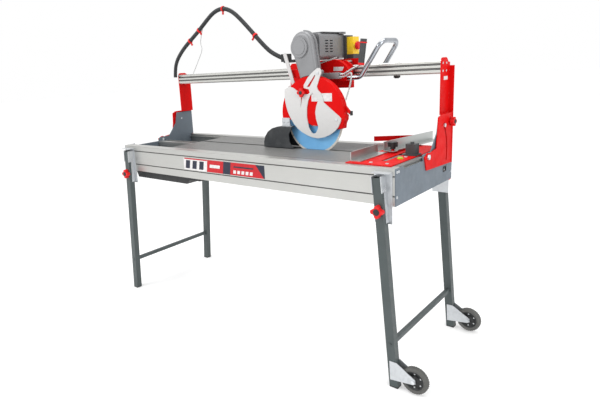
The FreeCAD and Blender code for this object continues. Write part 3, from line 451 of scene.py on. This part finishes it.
def in_guide_groove(centre):
    depth = centre.y - y_of(GUIDE_FACE_Y)
    return in_groove(depth, centre.z, GUIDE_GROOVES_Z, GUIDE_GROOVE_HALF)


for rail_name in ("front_rail", "back_rail"):
    finish_node(rail_name, "groove", in_rail_groove)
finish_node("guide_rail", "groove", in_guide_groove)

# The grip leans from its foot, between two red rings
GRIP_FOOT = at(0.593, 0.060, 1.430)
GRIP_LEAN = math.radians(8)
GRIP_AXIS = Vector((math.sin(GRIP_LEAN), 0, math.cos(GRIP_LEAN)))


def on_grip_ring(centre):
    """True for the faces of the low ring and the top ring of the grip."""
    height = (centre - GRIP_FOOT).dot(GRIP_AXIS)
    return height < 0.0081 or 0.1019 < height < 0.1079


finish_node("grip", "red_plastic", on_grip_ring)

# The carriage's dark boss, the red arm of the head and the dark lid and fan cover of the motor
finish_node("carriage_plate", "cast_dark", lambda c: c.y < y_of(0.1599) and c.x < x_of(0.17))
finish_node("head_casting", "red", lambda c: c.y > y_of(0.0775) and c.x < x_of(0.245))
finish_node("motor_body", "cast_dark", lambda c: c.z > 1.6035 or c.y > y_of(0.3125))


# Detail pieces


def new_piece(name, mesh, material, body, smooth=True):
    """An object with a material. It rides on a body, or on none."""
    obj = bpy.data.objects.new(name, mesh)
    bpy.context.scene.collection.objects.link(obj)
    mesh.materials.append(MAT[material])
    for face in mesh.polygons:
        face.use_smooth = smooth
    if body is not None:
        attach(obj, body)
    return obj


def mesh_of(name, bm):
    """A mesh of a bmesh, which is let go."""
    mesh = bpy.data.meshes.new(name)
    bm.to_mesh(mesh)
    bm.free()
    return mesh


def faced_mesh(name, verts, faces, merge):
    """A mesh of points and faces that all look outwards; merge joins points closer than it."""
    mesh = bpy.data.meshes.new(name)
    mesh.from_pydata(verts, [], faces)
    bm = bmesh.new()
    bm.from_mesh(mesh)
    if merge:
        bmesh.ops.remove_doubles(bm, verts=bm.verts, dist=merge)
    bmesh.ops.recalc_face_normals(bm, faces=bm.faces)
    bm.to_mesh(mesh)
    bm.free()
    return mesh


def turned_mesh(name, profile, centre, axis, segments, closed=False, warp=None):
    """Mesh of a profile of (radius, height) turned round an axis.

    closed joins the profile's end to its start. warp changes a radius by segment and profile index."""
    turn = Vector((0, 0, 1)).rotation_difference(Vector(axis)).to_matrix()
    verts, faces = [], []
    count = len(profile)
    for s in range(segments):
        a = 2 * math.pi * s / segments
        for k, (radius, height) in enumerate(profile):
            r = radius if warp is None else warp(radius, s, k)
            verts.append(Vector(centre) + turn @ Vector((r * math.cos(a), r * math.sin(a), height)))
    loops = count if closed else count - 1
    for s in range(segments):
        t = (s + 1) % segments
        for k in range(loops):
            j = (k + 1) % count
            faces.append((s * count + k, t * count + k, t * count + j, s * count + j))
    return faced_mesh(name, verts, faces, 1e-6)


def slab_mesh(name, outline, direction, thickness):
    """Flat plate: an outline of points, extruded along a direction."""
    push = Vector(direction).normalized() * thickness
    count = len(outline)
    verts = [Vector(p) for p in outline] + [Vector(p) + push for p in outline]
    faces = [tuple(range(count)), tuple(reversed(range(count, 2 * count)))]
    faces += [(k, k + count, (k + 1) % count + count, (k + 1) % count) for k in range(count)]
    return faced_mesh(name, verts, faces, 0)


def tube_mesh(name, points, radius, sides=20):
    """Tube along a list of points. radius is a function of the distance along it."""
    verts, faces = [], []
    distance = 0.0
    side = None
    for k, point in enumerate(points):
        before = points[max(k - 1, 0)]
        after = points[min(k + 1, len(points) - 1)]
        direction = (after - before).normalized()
        if side is None:
            side = direction.cross(Vector((0, 1, 0))).normalized()
        side = (side - direction * side.dot(direction)).normalized()
        other = direction.cross(side)
        distance += (point - before).length
        r = radius(distance)
        for s in range(sides):
            a = 2 * math.pi * s / sides
            verts.append(point + side * (r * math.cos(a)) + other * (r * math.sin(a)))
    for k in range(len(points) - 1):
        for s in range(sides):
            t = (s + 1) % sides
            faces.append((k * sides + s, k * sides + t, (k + 1) * sides + t, (k + 1) * sides + s))
    last = (len(points) - 1) * sides
    faces.append(tuple(reversed(range(sides))))
    faces.append(tuple(range(last, last + sides)))
    mesh = bpy.data.meshes.new(name)
    mesh.from_pydata(verts, [], faces)
    return mesh


def spline_line(name, route, step):
    """Points a step apart along the NURBS line that has the route as its control points."""
    curve = bpy.data.curves.new(name, "CURVE")
    curve.dimensions = "3D"
    curve.resolution_u = 24
    spline = curve.splines.new("NURBS")
    spline.points.add(len(route) - 1)
    for point, place in zip(spline.points, route):
        point.co = (*place, 1.0)
    spline.order_u = 3
    spline.use_endpoint_u = True
    holder = bpy.data.objects.new(name, curve)
    bpy.context.scene.collection.objects.link(holder)
    bpy.context.view_layer.update()
    line = bpy.data.meshes.new_from_object(holder)
    dense = [v.co.copy() for v in line.vertices]
    bpy.data.objects.remove(holder)
    points = [dense[0]]
    gap = step
    for a, b in zip(dense, dense[1:]):
        length = (b - a).length
        while gap <= length:
            points.append(a.lerp(b, gap / length))
            gap += step
        gap -= length
    points.append(dense[-1])
    return points


# Water hose, with its ribs, from the left post to the carriage
HOSE_ROUTE = [
    at(-0.957, 0.166, 1.412), at(-0.955, 0.168, 1.462), at(-0.934, 0.174, 1.527), at(-0.862, 0.181, 1.600),
    at(-0.763, 0.184, 1.663), at(-0.690, 0.185, 1.709), at(-0.622, 0.185, 1.757), at(-0.545, 0.186, 1.806),
    at(-0.468, 0.186, 1.822), at(-0.404, 0.186, 1.805), at(-0.345, 0.186, 1.768), at(-0.250, 0.185, 1.682),
    at(-0.150, 0.185, 1.583), at(-0.070, 0.184, 1.518), at(0.002, 0.184, 1.4915),
]
HOSE_R = 0.013
RIB = 0.0045
RIB_WAVE = 0.0009
HOSE_LINE = spline_line("hose_line", HOSE_ROUTE, RIB / 4)


def rib_radius(distance):
    """Radius of the ribbed hose at a distance along it."""
    return HOSE_R - RIB_WAVE + RIB_WAVE * math.cos(2 * math.pi * distance / RIB)


hose = new_piece("hose_ribbed", tube_mesh("hose_ribbed", HOSE_LINE, rib_radius), "hose", None)
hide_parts("hose")


def hose_clip(k, place):
    """Red split clip with its tail, round the hose at a share of its length."""
    index = int(place * (len(HOSE_LINE) - 1))
    centre = HOSE_LINE[index]
    direction = (HOSE_LINE[index + 4] - HOSE_LINE[index - 4]).normalized()
    r0, r1 = HOSE_R + 0.0006, HOSE_R + 0.0035
    ring = [(r0, -0.006), (r1, -0.006), (r1 + 0.0008, 0.0), (r1, 0.006), (r0, 0.006)]
    mesh = turned_mesh("hose_clip_%d" % k, ring, centre, direction, 40, True)
    bm = bmesh.new()
    bm.from_mesh(mesh)
    up = direction.cross(Vector((0, -1, 0))).normalized()
    tail = bmesh.ops.create_cube(bm, size=1.0)["verts"]
    turn = Matrix((direction, Vector((0, -1, 0)), up)).transposed()
    for v in tail:
        v.co = centre + turn @ Vector((v.co.x * 0.011, v.co.y * 0.006, v.co.z * 0.02 + HOSE_R + 0.012))
    bm.to_mesh(mesh)
    bm.free()
    clip = new_piece("hose_clip_%d" % k, mesh, "red_plastic", None)
    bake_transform(clip)
    return clip


CLIPS = [hose_clip(k, place) for k, place in enumerate((0.245, 0.335, 0.545, 0.80))]
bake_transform(hose)

# Spring wire from the rail up to the hose, with the eye that holds it
WIRE_ROUTE = [at(-0.813, 0.206, 1.428), at(-0.752, 0.206, 1.508), at(-0.692, 0.206, 1.591)]
WIRE_ROUTE += [at(-0.722, 0.206, 1.632), at(-0.668, 0.206, 1.742)]
wire_line = spline_line("wire_line", WIRE_ROUTE, 0.003)
wire_mesh = tube_mesh("hose_wire_bent", wire_line, lambda distance: 0.002, 10)
wire = new_piece("hose_wire_bent", wire_mesh, "steel", None)
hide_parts("hose_wire")
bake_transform(wire)


def soft_flap():
    """Rubber flap behind the blade, with rounded edges."""
    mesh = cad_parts["splash_flap"].data.copy()
    bm = bmesh.new()
    bm.from_mesh(mesh)
    bmesh.ops.remove_doubles(bm, verts=bm.verts, dist=0.00002)
    bmesh.ops.dissolve_limit(bm, angle_limit=0.02, verts=bm.verts, edges=bm.edges)
    sharp = [edge for edge in bm.edges if edge.calc_face_angle(0) > 0.6]
    bmesh.ops.bevel(bm, geom=sharp, offset=0.0012, segments=2, affect="EDGES",
                    clamp_overlap=True)
    bm.to_mesh(mesh)
    bm.free()
    mesh.materials.clear()
    flap = new_piece("splash_flap_soft", mesh, "flap", "head", False)
    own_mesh(flap)
    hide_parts("splash_flap")


soft_flap()


TREAD_DEPTH = 0.0016
BOLT_COUNT = 6
BOLT_CIRCLE = 0.032


def mirrored(profile):
    """A profile of (radius, height) followed by its mirror image below height 0."""
    return profile + [(r, -y) for r, y in reversed(profile)]


def wheel_pieces(node):
    """Treaded tyre, dished hub with its bearing boss, and hub bolts on both sides."""
    low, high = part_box(node)
    centre = (low + high) / 2
    radius = (high.z - low.z) / 2
    half = (high.y - low.y) / 2
    rim = radius * 0.70
    tyre_profile = [(rim, -half * 0.86), (rim + 0.008, -half * 0.97), (radius - 0.008, -half)]
    tyre_profile += [(radius - 0.0025, -half * 0.86), (radius, -half * 0.62)]
    tyre_profile += [(radius, -half * 0.2), (radius - 0.0012, -half * 0.12)]
    half_count = len(tyre_profile)
    tyre_profile = mirrored(tyre_profile)

    def tread(r, s, k):
        """Cuts the tread grooves, staggered between the two halves of the tyre."""
        block = (s + (2 if k >= half_count else 0)) % 4 < 2
        return r - (TREAD_DEPTH if r > radius - 0.003 and block else 0.0)

    tyre_mesh = turned_mesh(node + "_tyre", tyre_profile, centre, (0, 1, 0), 144, True, tread)
    tyre = new_piece(node + "_tyre", tyre_mesh, "tyre", node)
    hub_profile = [(rim, -half * 0.8), (rim - 0.003, -half * 0.86), (rim - 0.006, -half * 0.8)]
    hub_profile += [(rim - 0.008, -half * 0.35), (0.022, -half * 0.25), (0.017, -half * 0.3)]
    hub_profile += [(0.0145, -half * 0.94), (0.0105, -half)]
    hub_profile = mirrored(hub_profile)

    def spoke(r, s, k):
        """Raises the spokes on the dished part of the hub."""
        return r + (0.0012 if 0.018 < r < rim - 0.007 and s % 12 < 5 else 0.0)

    hub_mesh = turned_mesh(node + "_hub", hub_profile, centre, (0, 1, 0), 96, False, spoke)
    hub = new_piece(node + "_hub", hub_mesh, "black", node)
    bolts = bmesh.new()
    for side in (-1, 1):
        for k in range(BOLT_COUNT):
            a = 2 * math.pi * (k + 0.5) / BOLT_COUNT
            place = Vector((BOLT_CIRCLE * math.cos(a), side * half * 0.36, BOLT_CIRCLE * math.sin(a)))
            made = bmesh.ops.create_cone(bolts, cap_ends=True, segments=6, radius1=0.0042,
                                         radius2=0.0036, depth=0.004)
            turn = Vector((0, 0, 1)).rotation_difference(Vector((0, side, 0))).to_matrix()
            for v in made["verts"]:
                v.co = centre + place + turn @ v.co
    new_piece(node + "_bolts", mesh_of(node + "_bolts", bolts), "bolt", node, False)
    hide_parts(node)


wheel_pieces("front_wheel")
wheel_pieces("back_wheel")


def knob_cap(node, axis, radius):
    """Black cap in the middle of a star knob, on the side that the axis points to."""
    low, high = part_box(node)
    centre = (low + high) / 2
    axis = Vector(axis)
    face = Vector((max(abs(c), 1e-9) for c in axis))
    tip = centre + axis * ((high - low).dot(face) / 2)
    profile = [(radius, -0.0004), (radius, 0.0012), (radius * 0.86, 0.0026)]
    profile += [(radius * 0.5, 0.0032), (0.0001, 0.0034)]
    cap = new_piece(node + "_cap", turned_mesh(node + "_cap", profile, tip, axis, 40), "black", node)


LEG_CAP_R = 0.0145
for side in ("left", "right"):
    knob_cap("leg_knob_%s_front" % side, (0, -1, 0), LEG_CAP_R)
    knob_cap("leg_knob_%s_back" % side, (0, 1, 0), LEG_CAP_R)
knob_cap("tilt_knob_left", (-1, 0, 0), 0.011)
knob_cap("tilt_knob_right", (1, 0, 0), 0.011)
knob_cap("guard_knob", (0, -1, 0), 0.010)


# Plain colour stickers with no lettering: patches, and marks that lie on top of them
PATCH = 0.0004
UPPER_PATCH = 0.0006
MARK = 0.0007
RAIL_FACE = -(MIDDLE.y - RAIL_LOW[1])
BAND_LOW = 0.888
BAND_HIGH = 0.957


def sticker(name, corners, direction, material, body, thickness=PATCH):
    piece = new_piece(name, slab_mesh(name, corners, direction, thickness), material, body, False)


def rail_sticker(name, x0, x1, z0, z1, material, lean=0.0, depth=PATCH, end_lean=None):
    """Flat patch on the front rail; its left edge leans by lean, its right edge by end_lean."""
    if end_lean is None:
        end_lean = lean
    corners = [at(x0, RAIL_FACE, z0), at(x1, RAIL_FACE, z0)]
    corners += [at(x1 + end_lean, RAIL_FACE, z1), at(x0 + lean, RAIL_FACE, z1)]
    sticker(name, corners, (0, -1, 0), material, "frame", depth)


rail_sticker("rail_panel_pale", -0.383, -0.190, BAND_LOW, BAND_HIGH, "label", end_lean=0.010)
rail_sticker("rail_panel_red", -0.1895, -0.062, BAND_LOW, BAND_HIGH, "label_red", 0.010)
rail_sticker("rail_panel_dark", -0.0615, -0.006, BAND_LOW, BAND_HIGH, "ink", 0.010)
rail_sticker("rail_panel_dark_end", 0.130, 0.242, BAND_LOW, BAND_HIGH, "ink")
rail_sticker("rail_panel_red_wide", -0.0055, 0.236, BAND_LOW, BAND_HIGH, "label_red", 0.010,
             UPPER_PATCH, -0.055)
rail_sticker("rail_line_red", -0.375, -0.182, 0.950, BAND_HIGH, "label_red", 0.0, MARK)
for k in range(3):
    left = -0.370 + 0.058 * k
    rail_sticker("rail_bar_dark_%d" % k, left, left + 0.036, 0.896, 0.944, "ink", 0.009, MARK)
rail_sticker("rail_bar_pale", -0.165, -0.085, 0.914, 0.932, "label", 0.004, MARK)
for k in range(5):
    left = 0.018 + 0.030 * k
    rail_sticker("rail_tile_%d" % k, left, left + 0.020, 0.897, 0.915, "label", 0.003, MARK)
rail_sticker("rail_line_dark", 0.022, 0.165, 0.930, 0.938, "ink", 0.002, MARK)


def front_label(name, y, corners, body):
    """Pale label with corners of (X, Z) on a face that looks to the front."""
    sticker(name, [at(x, y, z) for x, z in corners], (0, -1, 0), "label", body)


GUARD_FACE = at(0, -0.025, 0).y - MIDDLE.y
front_label("guard_label", GUARD_FACE, [(0.347, 1.256), (0.473, 1.256), (0.473, 1.297), (0.347, 1.297)],
            "head")
front_label("carriage_label", 0.125, [(0.388, 1.402), (0.444, 1.402), (0.454, 1.422), (0.392, 1.424)],
            "carriage")
for side, x in ((1, 0.949), (-1, -0.949)):
    patch = [at(x, 0.215, 1.335), at(x, 0.262, 1.335), at(x, 0.262, 1.352), at(x, 0.215, 1.352)]
    sticker("post_label_%s" % ("right" if side > 0 else "left"), patch, (side, 0, 0), "label", "bridge")


def frame_ring(name, x, y0, y1, z0, z1, border, thickness, material, body):
    """Edging round a rectangular hole in a plate that faces X."""
    strips = [(y0 - border, y0, z0 - border, z1 + border), (y1, y1 + border, z0 - border, z1 + border)]
    strips += [(y0, y1, z0 - border, z0), (y0, y1, z1, z1 + border)]
    bm = bmesh.new()
    for a0, a1, b0, b1 in strips:
        for v in bmesh.ops.create_cube(bm, size=1.0)["verts"]:
            y = (a0 + a1) / 2 + v.co.y * (a1 - a0)
            z = (b0 + b1) / 2 + v.co.z * (b1 - b0)
            v.co = at(x + v.co.x * thickness, y, z)
    new_piece(name, mesh_of(name, bm), material, body, False)


# Rubber edging of the cable hole in the right end plate
frame_ring("cable_grommet", 0.963, 0.202, 0.230, 0.895, 0.913, 0.004, 0.005, "rubber", "frame")

# Camera: heading from the front towards the right, pitch up from straight down, and roll
camera_data = bpy.data.cameras.new("camera")
camera_data.sensor_width = 36.0
camera_data.lens = 30.336
camera_data.shift_x = 0.0632
camera_data.shift_y = -0.0161
camera = bpy.data.objects.new("camera", camera_data)
bpy.context.scene.collection.objects.link(camera)
HEADING, PITCH, ROLL = math.radians(41.44), math.radians(76.47), math.radians(-3.43)
look = Matrix.Rotation(HEADING, 4, "Z") @ Matrix.Rotation(PITCH, 4, "X") @ Matrix.Rotation(ROLL, 4, "Z")
camera.matrix_world = Matrix.Translation(at(1.9024, -2.2193, 1.4384)) @ look
bpy.context.scene.camera = camera

# Floor and light
FLOOR_HALF = 40
WHITE = (1.0, 1.0, 1.0, 1.0)
floor_corners = [(x * FLOOR_HALF, y * FLOOR_HALF, 0) for x, y in ((-1, -1), (1, -1), (1, 1), (-1, 1))]
floor_mesh = bpy.data.meshes.new("floor")
floor_mesh.from_pydata(floor_corners, [], [(0, 1, 2, 3)])
floor = bpy.data.objects.new("floor", floor_mesh)
bpy.context.scene.collection.objects.link(floor)
studio = Nodes("studio_floor")
studio_tones = [(0.3, (0.90, 0.90, 0.90)), (0.7, (0.92, 0.92, 0.92))]
studio.feed("Base Color", studio.ramp(studio.noise(2.0, 3.0), studio_tones))
studio.shader.inputs["Roughness"].default_value = 0.8
studio.shader.inputs["Emission Color"].default_value = WHITE
studio.shader.inputs["Emission Strength"].default_value = 0.12
floor_mesh.materials.append(studio.material)

world = bpy.data.worlds.new("world")
world.use_nodes = True
world.node_tree.nodes["Background"].inputs["Color"].default_value = WHITE
world.node_tree.nodes["Background"].inputs["Strength"].default_value = 1.0
bpy.context.scene.world = world


def soft_light(name, place, target, size, power):
    """Area light of (width, height) in metres and power in watts, turned to a target."""
    light = bpy.data.lights.new(name, "AREA")
    light.shape = "RECTANGLE"
    light.size, light.size_y = size
    light.energy = power
    obj = bpy.data.objects.new(name, light)
    bpy.context.scene.collection.objects.link(obj)
    turn = (Vector(place) - Vector(target)).to_track_quat("Z", "Y")
    obj.matrix_world = Matrix.Translation(place) @ turn.to_matrix().to_4x4()


soft_light("key", (-1.8, -3.2, 3.6), (0, 0, 0.9), (2.4, 1.6), 85)
soft_light("fill", (3.8, -1.4, 2.2), (0.3, 0, 0.9), (1.6, 2.2), 35)
soft_light("top", (0.2, 0.4, 4.2), (0, 0, 0.9), (3.0, 2.0), 55)
bpy.context.scene.view_settings.view_transform = "Standard"

bpy.context.view_layer.update()
